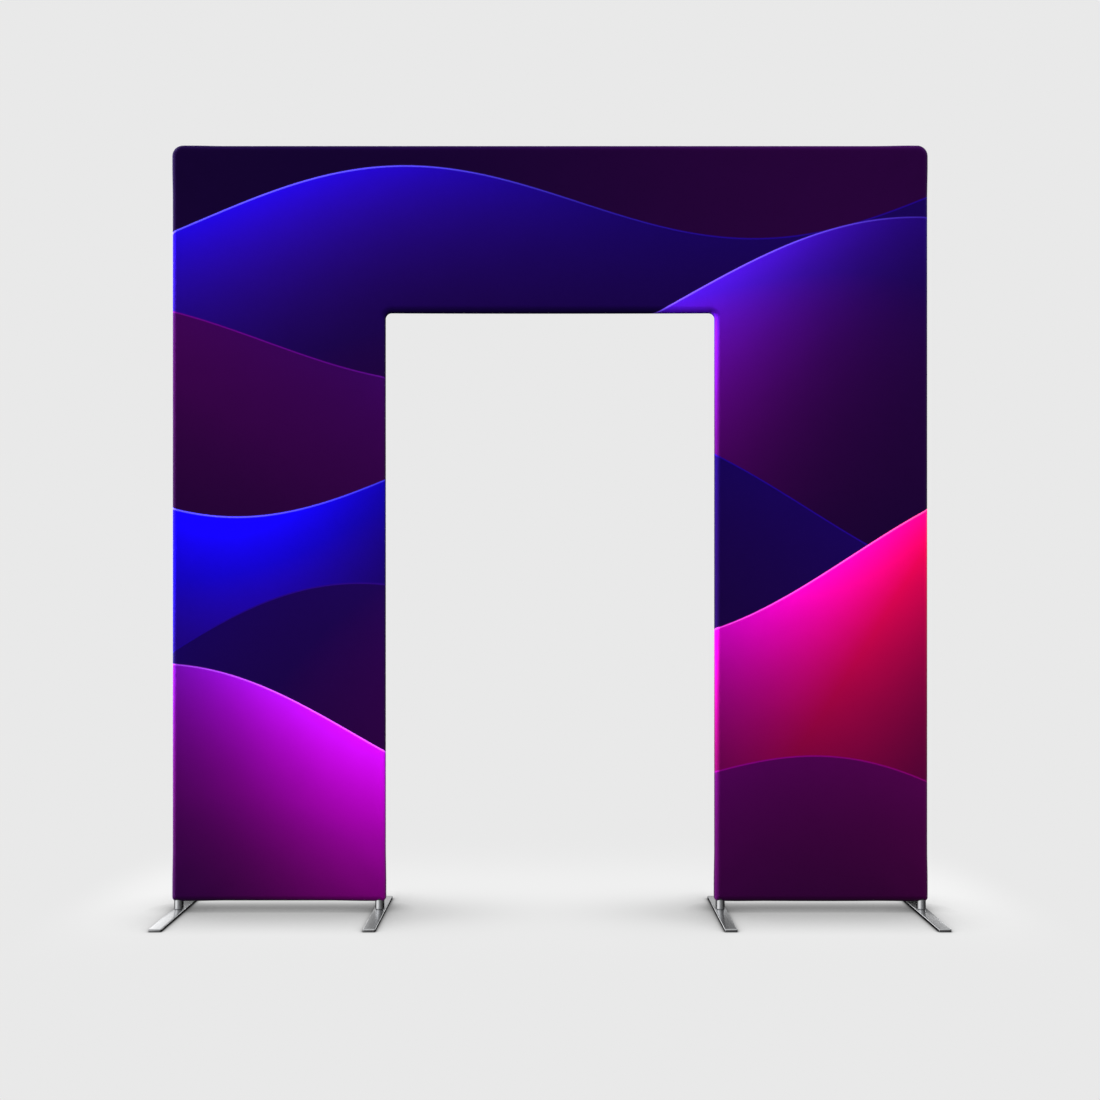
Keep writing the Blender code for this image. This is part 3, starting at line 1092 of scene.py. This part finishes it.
@dataclass
class EdgeSeam:
    """Ladder stitches that close the two panels along the middle of the cover's edge."""

    line: ArchLine
    finish: bpy.types.Material
    pitch: float = 4.0 * MM
    half_width: float = 1.9 * MM
    thread_r: float = 0.2 * MM
    rise: float = 0.35 * MM
    above_groove: float = 0.3 * MM
    clear_of_post: float = 19 * MM

    def build(self) -> bpy.types.Object:
        """Runs the stitches round the arch with Geometry Nodes.

        Returns:
            The finished piece.
        """
        path = self._path()
        piece = bpy.data.objects.new(path.name, path)
        bpy.context.scene.collection.objects.link(piece)
        modifier = piece.modifiers.new("stitches", "NODES")
        modifier.node_group = self._tree()
        sizes = {
            "Pitch": self.pitch,
            "Half Width": self.half_width,
            "Thread Radius": self.thread_r,
            "Rise": self.rise,
            "Thread": self.finish,
        }
        for socket in modifier.node_group.interface.items_tree:
            if socket.in_out == "INPUT" and socket.name in sizes:
                modifier[socket.identifier] = sizes[socket.name]
        view = bpy.context.evaluated_depsgraph_get()
        stitches = bpy.data.meshes.new_from_object(piece.evaluated_get(view))
        piece.modifiers.clear()
        piece.data = stitches
        bpy.data.meshes.remove(path)
        stitches.name = piece.name
        stitches.shade_smooth()
        settle(piece, "cover_cloth")
        return piece

    def _path(self) -> bpy.types.Mesh:
        """Lays the seam's line, left open where the posts pass.

        Returns:
            A mesh of edges.
        """
        line = self.line
        x, z = line.points(np.full(line.count, line.cover_r - self.above_groove)).T
        sewn = (line.from_post(x) >= self.clear_of_post) | (z >= line.bottom_z)
        after = np.roll(np.arange(line.count), -1)
        edges = [(k, int(after[k])) for k in range(line.count) if sewn[k] and sewn[after[k]]]
        mesh = bpy.data.meshes.new("edge_seam_stitches")
        points = np.stack([x, np.full(line.count, line.plane_y), z], axis=1)
        mesh.from_pydata(points.tolist(), edges, [])
        return mesh

    @staticmethod
    def _tree() -> bpy.types.NodeTree:
        """Builds the node tree: one small arched thread at each step along the line.

        Returns:
            The tree, with an input for each size.
        """
        sizes = dict.fromkeys(("Pitch", "Half Width", "Thread Radius", "Rise"), "Float")
        inputs = {"Geometry": "Geometry", **sizes, "Thread": "Material"}
        g, given, result = new_group("Geometry", "ladder_stitches", inputs, "Geometry")

        def tip(side: float, height: Socket | None = None) -> Socket:
            """A point of the stitch, at a share of its half width across the seam."""
            across = g.math("MULTIPLY", given["Half Width"], side)
            return g.node("CombineXYZ", (None, across, height)).outputs[0]

        path = g.node("GeometryNodeMeshToCurve", (given["Geometry"],)).outputs[0]
        steps = {"Curve": path, "Length": given["Pitch"]}
        spots = g.node("GeometryNodeResampleCurve", steps, mode="LENGTH").outputs[0]
        tangent = g.node("GeometryNodeInputTangent").outputs[0]
        turn = g.node(
            "FunctionNodeAlignRotationToVector", {"Vector": tangent}, axis="X", pivot_axis="Y"
        ).outputs[0]
        thread = g.node("GeometryNodeCurveQuadraticBezier", {
            "Resolution": 4, "Start": tip(-1.0), "Middle": tip(0.0, given["Rise"]), "End": tip(1.0),
        }).outputs[0]
        ring = g.node(
            "GeometryNodeCurvePrimitiveCircle", {"Resolution": 5, "Radius": given["Thread Radius"]}
        ).outputs[0]
        stitch = g.node(
            "GeometryNodeCurveToMesh", {"Curve": thread, "Profile Curve": ring, "Fill Caps": True}
        ).outputs[0]
        placed = g.node(
            "GeometryNodeInstanceOnPoints", {"Points": spots, "Instance": stitch, "Rotation": turn}
        ).outputs[0]
        real = g.node("GeometryNodeRealizeInstances", (placed,)).outputs[0]
        dress = {"Geometry": real, "Material": given["Thread"]}
        g.feed(result, g.node("GeometryNodeSetMaterial", dress).outputs[0])
        return g.tree


# Posts, feet and the hidden frame


@dataclass
class Post:
    """A round post, from its foot up into the upright."""

    label: str
    finish: bpy.types.Material
    sides: int = 96
    chamfer: float = 0.7 * MM

    def build(self) -> bpy.types.Object:
        """Turns the post in place of its CAD node.

        Returns:
            The finished piece.
        """
        low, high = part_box(f"post_{self.label}")
        radius = (high.x - low.x) / 2
        profile = [
            (0.0, high.z), (radius - self.chamfer, high.z), (radius, high.z - self.chamfer),
            (radius, low.z + self.chamfer), (radius - self.chamfer, low.z), (0.0, low.z),
        ]
        bm = bmesh.new()
        verts = [bm.verts.new((r, 0.0, z)) for r, z in profile]
        edges = [bm.edges.new(pair) for pair in zip(verts, verts[1:])]
        bmesh.ops.spin(
            bm, geom=verts + edges, cent=(0, 0, 0), axis=(0, 0, 1), angle=2 * math.pi, steps=self.sides
        )
        bmesh.ops.remove_doubles(bm, verts=bm.verts, dist=0.01 * MM)
        bmesh.ops.recalc_face_normals(bm, faces=bm.faces)
        middle = (low + high) / 2
        bmesh.ops.translate(bm, verts=bm.verts, vec=(middle.x, middle.y, 0.0))
        mesh = mesh_of(bm, f"post_{self.label}_turned")
        smooth(mesh, sharp=30)
        piece = plain_object(mesh, self.finish)
        settle(piece, "post", f"post_{self.label}")
        return piece


@dataclass
class Foot:
    """A flat bar foot with rounded corners and edges."""

    label: str
    finish: bpy.types.Material
    corner: float = 3.5 * MM
    edge: float = 2.8 * MM
    steps: int = 6

    def build(self) -> bpy.types.Object:
        """Cuts the bar in place of its CAD node.

        Returns:
            The finished piece.
        """
        low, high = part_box(f"foot_{self.label}")
        bm = block(low, high)
        self._round_off(bm, self.corner, level=False)
        self._round_off(bm, self.edge, level=True)
        bmesh.ops.recalc_face_normals(bm, faces=bm.faces)
        mesh = mesh_of(bm, f"foot_{self.label}_bar")
        smooth(mesh, sharp=35)
        piece = plain_object(mesh, self.finish)
        hide_from(piece, Rays.SHADOW)
        settle(piece, "foot", f"foot_{self.label}")
        return piece

    def _round_off(self, bm: bmesh.types.BMesh, radius: float, level: bool) -> None:
        """Rounds edges of the bar.

        Args:
            bm: The bar's mesh.
            radius: The radius they get.
            level: Whether these are the level edges or the upright ones.
        """
        edges = [e for e in bm.edges if (abs(e.verts[0].co.z - e.verts[1].co.z) < 0.01 * MM) == level]
        bmesh.ops.bevel(bm, geom=edges, offset=radius, segments=self.steps, profile=0.5, affect="EDGES")


@dataclass
class HiddenFrame:
    """The tubes and corner fittings inside the cover, which stay as their CAD nodes."""

    tube: bpy.types.Material
    fitting: bpy.types.Material

    def dress(self) -> None:
        """Gives each CAD node of the frame its finish."""
        for name, node in sorted(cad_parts.items()):
            if node.hide_render:
                continue
            finish = self.fitting if "fitting" in name else self.tube
            node.data.materials.clear()
            node.data.materials.append(finish)
            hide_from(node, Rays.GLOSSY)
            LOG.info("%s: %s", name, finish.name)


# Studio


@dataclass(frozen=True)
class Lamp:
    """A wide, soft light from far away.

    Args:
        name: The light's name.
        way: The direction in which it shines.
        level: How bright it makes white cloth that faces it, with 1 as full white.
        spread: Its width in degrees.
    """

    name: str
    way: tuple[float, float, float]
    level: float
    spread: float = 30.0

    def hang(self) -> None:
        """Adds the light to the scene. Metal sees MetalStudio's panels in its place."""
        light = bpy.data.lights.new(self.name, "SUN")
        light.energy = self.level * math.pi
        light.angle = math.radians(self.spread)
        lamp = bpy.data.objects.new(self.name, light)
        lamp.rotation_euler = Vector(self.way).to_track_quat("-Z", "Y").to_euler()
        hide_from(lamp, Rays.GLOSSY)
        bpy.context.scene.collection.objects.link(lamp)


@dataclass(frozen=True)
class MetalStudio:
    """The studio that only metal sees: soft panels of light all round.

    Each Fade gives a brightness over one part of the direction looked in: x to the right, y to
    the rear, z up. Those that share a name are multiplied, and the backdrop's left, right and low
    parts are added up.
    """

    left_way: tuple[float, float, float] = (-0.866, -0.5, 0.0)
    left: Fade = Fade(0.60, 0.96, 0.0, 0.86)
    front_x: Fade = Fade(-0.2, 0.8, 1.0, 0.35)
    front_y: Fade = Fade(0.3, -0.8, 0.02, 0.5)
    front_z: Fade = Fade(-0.6, 0.1, 0.3, 1.0)
    backdrop_y: Fade = Fade(0.1, 0.7, 0.0, 1.0)
    backdrop_z: Fade = Fade(-0.02, 0.14, 0.0, 1.0)
    backdrop_left: Fade = Fade(-0.32, -0.13, 1.22, 0.18)
    backdrop_right: Fade = Fade(0.14, 0.45, 0.0, 0.56)
    low_sides: Fade = Fade(0.14, 0.28, 0.0, 1.8)
    low_z: Fade = Fade(0.10, 0.24, 1.0, 0.0)
    above: Fade = Fade(0.45, 1.0, 0.0, 0.7)

    def lay(self, g: Graph) -> Socket:
        """Adds the panels to a world.

        Args:
            g: The world's graph.

        Returns:
            Their brightness.
        """
        way = g.node("TexCoord").outputs["Generated"]
        x, y, z = g.node("SeparateXYZ", (way,)).outputs
        leftwards = g.node("VectorMath", (way, self.left_way), operation="DOT_PRODUCT")
        left = g.remap(leftwards.outputs["Value"], *self.left)
        front = g.product(
            g.remap(x, *self.front_x), g.remap(y, *self.front_y), g.remap(z, *self.front_z)
        )
        low = g.product(g.remap(g.math("ABSOLUTE", x), *self.low_sides), g.remap(z, *self.low_z))
        across = g.total(g.remap(x, *self.backdrop_left), g.remap(x, *self.backdrop_right), low)
        backdrop = g.product(g.remap(y, *self.backdrop_y), g.remap(z, *self.backdrop_z), across)
        return g.total(left, front, backdrop, g.remap(z, *self.above))


@dataclass
class Studio:
    """A plain pale floor without an end, soft light from all round, and the camera."""

    line: ArchLine
    pale: float = from_screen(233, 233, 233)[0]
    floor_half: float = 40.0
    floor_bounce: float = 0.35
    wide_shade: tuple[float, float, float] = (0.26, 0.0, 1.2)  # reach, lean, power
    close_shade: tuple[float, float, float] = (0.11, -1.6, 2.0)
    pool: Fade = Fade(1.15, 1.30, 0.065, 0.11)
    pool_middle: float = 0.30
    pool_half: float = 0.45
    pool_end: Fade = Fade(1.36, 1.70, 1.0, 0.0)
    streak: float = 0.24
    streak_length: float = 0.36
    streak_half: float = 0.17
    streak_end: tuple[float, float] = (-10 * MM, 20 * MM)  # past a leg's edge
    foot_shade: tuple[float, float] = (2 * MM, 6 * MM)  # height of the plates' two faces
    # glow of the cards that paint reflections on the feet's rear ends: 0 paints black shade, higher
    # values paint light
    flag_tones: tuple[float, ...] = (0.2, 0.66, 0.57, 0.0)  # in the order of PLACES
    flag_gap: float = 30 * MM
    flag_outwards: float = 45 * MM
    flag_half: float = 110 * MM
    flag_height: tuple[float, float] = (12 * MM, 60 * MM)
    flag_thick: float = 1 * MM
    room: float = 0.02
    eye_distance: float = 3.828
    eye_height: float = 1.0505
    lens: float = 37.82
    sensor: float = 36.0
    rise: float = 0.0404
    lamps: tuple[Lamp, ...] = (
        Lamp("front_fill", (0.0, 1.0, -0.70), 0.85, 30.0),
        Lamp("back_fill", (0.0, -1.0, -0.70), 0.95, 30.0),
        Lamp("left_key", (1.0, -0.17, -0.1), 8.0, 20.0),
        Lamp("right_fill", (-1.0, 0.2, -0.1), 0.35, 30.0),
        Lamp("top_light", (0.0, 0.1, -1.0), 2.6, 30.0),
    )

    def build(self) -> None:
        """Sets up floor, cards, world, lights, camera and the view's colours."""
        paint = self._floor()
        for place in sorted(PLACES):
            self._foot_shade(place, paint)
        for place, tone in zip(PLACES, self.flag_tones):
            self._flag(place, tone)
        self._world()
        for lamp in self.lamps:
            lamp.hang()
        self._camera()
        bpy.context.scene.view_settings.view_transform = "Standard"
        LOG.info("studio ready")

    def _floor(self) -> bpy.types.Material:
        """Lays a floor that shows pale, with soft shade where the stand keeps the light off it.

        Returns:
            The floor's material.
        """
        bm = bmesh.new()
        bmesh.ops.create_grid(bm, x_segments=1, y_segments=1, size=self.floor_half)
        material, g, light = new_material("studio_floor", "Emission")
        close, wide = self._open_share(g, *self.close_shade), self._open_share(g, *self.wide_shade)
        seen = g.product(close, wide, self._side_shade(g), self._light_pool(g), self.pale)
        to_camera = g.node("LightPath").outputs["Is Camera Ray"]
        bounce = g.remap(to_camera, 0.0, 1.0, self.floor_bounce, 1.0)
        g.fill(light, {"Strength": g.product(seen, bounce)})
        floor = plain_object(mesh_of(bm, "studio_floor"), material)
        hide_from(floor, Rays.GLOSSY)
        return material

    def _open_share(self, g: Graph, reach: float, lean: float, power: float) -> Socket:
        """Works out the share of the light that nothing near keeps off a spot of the floor.

        Args:
            g: The floor's graph.
            reach: How far away a piece still counts.
            lean: Tilt of the light, negative when it comes from the front.
            power: Depth of the shade.

        Returns:
            The share.
        """
        way = g.vector("NORMALIZE", (0.0, lean, 1.0))
        shade = g.node("AmbientOcclusion", {"Distance": reach, "Normal": way}, samples=16)
        return g.math("POWER", shade.outputs["AO"], power)

    def _floor_place(self, g: Graph) -> tuple[Socket, Socket]:
        """Works out where a spot of the floor lies.

        Args:
            g: The floor's graph.

        Returns:
            Its distance to the side of the arch's middle, and its distance behind the arch.
        """
        x, y, _ = g.node("SeparateXYZ", (g.node("TexCoord").outputs["Object"],)).outputs
        return g.math("ABSOLUTE", x), g.math("SUBTRACT", y, self.line.plane_y)

    def _side_shade(self, g: Graph) -> Socket:
        """Lays soft shade along the doorway's floor, strongest beside the legs' edges.

        Args:
            g: The floor's graph.

        Returns:
            The share of light that is left.
        """
        aside, behind = self._floor_place(g)
        edge = self.line.inner_x - self.line.cover_r
        gaps = (g.math("MULTIPLY_ADD", aside, way, edge) for way in (-1.0, 1.0))
        shares = (g.math("DIVIDE", g.math("MAXIMUM", gap, 0.0), self.streak_length) for gap in gaps)
        along = g.total(*(g.bell(share) for share in shares))
        across = g.bell(g.math("DIVIDE", behind, self.streak_half))
        inside = g.remap(aside, *(edge + end for end in self.streak_end), 1.0, 0.0)
        return g.math("SUBTRACT", 1.0, g.product(along, across, self.streak, inside))

    def _light_pool(self, g: Graph) -> Socket:
        """Makes the floor slightly brighter behind the stand, most of all past its ends.

        Args:
            g: The floor's graph.

        Returns:
            The factor by which it is brighter.
        """
        aside, behind = self._floor_place(g)
        off = g.math("DIVIDE", g.math("SUBTRACT", behind, self.pool_middle), self.pool_half)
        level = g.product(g.remap(aside, *self.pool), g.remap(aside, *self.pool_end))
        return g.math("MULTIPLY_ADD", g.bell(off), level, 1.0)

    def _foot_shade(self, place: str, paint: bpy.types.Material) -> None:
        """Adds a thin plate inside a foot that only keeps light off the floor beside it.

        Args:
            place: The foot's place.
            paint: The plate's finish.
        """
        low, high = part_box(f"foot_{place}")
        low.z, high.z = self.foot_shade
        self._card(f"shade_of_foot_{place}", low, high, paint, Rays.SHADOW)

    def _flag(self, place: str, tone: float) -> None:
        """Adds a glowing card behind a foot that only the metal sees: a painted reflection that darkens
        or lightens the foot's rear end.

        Args:
            place: The foot's place.
            tone: The card's brightness.
        """
        low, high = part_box(f"foot_{place}")
        middle = (low.x + high.x) / 2
        middle += math.copysign(self.flag_outwards, middle)
        bottom, top = self.flag_height
        corner = Vector((middle - self.flag_half, high.y + self.flag_gap, bottom))
        across = Vector((middle + self.flag_half, corner.y + self.flag_thick, top))
        paint, g, light = new_material(f"flag_{place}", "Emission")
        g.fill(light, {"Strength": tone})
        self._card(f"flag_{place}", corner, across, paint, Rays.GLOSSY)

    @staticmethod
    def _card(
        name: str, low: Vector, high: Vector, paint: bpy.types.Material, seen_by: Rays
    ) -> None:
        """Adds a card to the studio that only one kind of ray meets.

        Args:
            name: The card's name.
            low: Its lowest corner.
            high: Its highest corner.
            paint: Its finish.
            seen_by: The kind of ray.
        """
        card = plain_object(mesh_of(block(low, high), name), paint)
        hide_from(card, *(rays for rays in Rays if rays is not seen_by))

    def _world(self) -> None:
        """Makes the world plain pale to the camera, dim to cloth, and a studio to metal."""
        world = bpy.data.worlds.new("studio")
        bpy.context.scene.world = world
        g = cleared_graph(world)
        rays = g.node("LightPath").outputs
        panels = g.scale((1.0, 1.0, 1.0), MetalStudio().lay(g))
        seen = g.mix(rays["Is Glossy Ray"], (self.room,) * 3, panels)
        seen = g.mix(rays["Is Camera Ray"], seen, (self.pale,) * 3)
        light = g.node("Background", {"Color": seen})
        g.node("OutputWorld", {"Surface": light.outputs[0]})

    def _camera(self) -> None:
        """Puts the camera straight in front of the arch, level, with its view shifted up."""
        data = bpy.data.cameras.new("view")
        data.lens = self.lens
        data.sensor_width = self.sensor
        data.shift_y = self.rise
        camera = bpy.data.objects.new("view", data)
        camera.location = (0.0, self.line.plane_y - self.eye_distance, self.eye_height)
        camera.rotation_euler = (math.pi / 2, 0.0, 0.0)
        bpy.context.scene.collection.objects.link(camera)
        bpy.context.scene.camera = camera


def main() -> None:
    """Builds the stand's pieces in order, then the studio."""
    logging.basicConfig(level=logging.INFO, format="%(message)s")
    line = ArchLine.from_frame()
    cloth = PrintedCloth().material()
    for side in Side:
        CoverPanel(side, line, cloth).build()
    EdgeSeam(line, SEAM_THREAD.material()).build()
    post_metal, foot_metal = POST_STEEL.material(), FOOT_STEEL.material()
    for place in PLACES:
        Post(place, post_metal).build()
        Foot(place, foot_metal).build()
    HiddenFrame(TUBE_ALUMINIUM.material(), FITTING_PLASTIC.material()).dress()
    Studio(line).build()


if __name__ == "__main__":
    main()
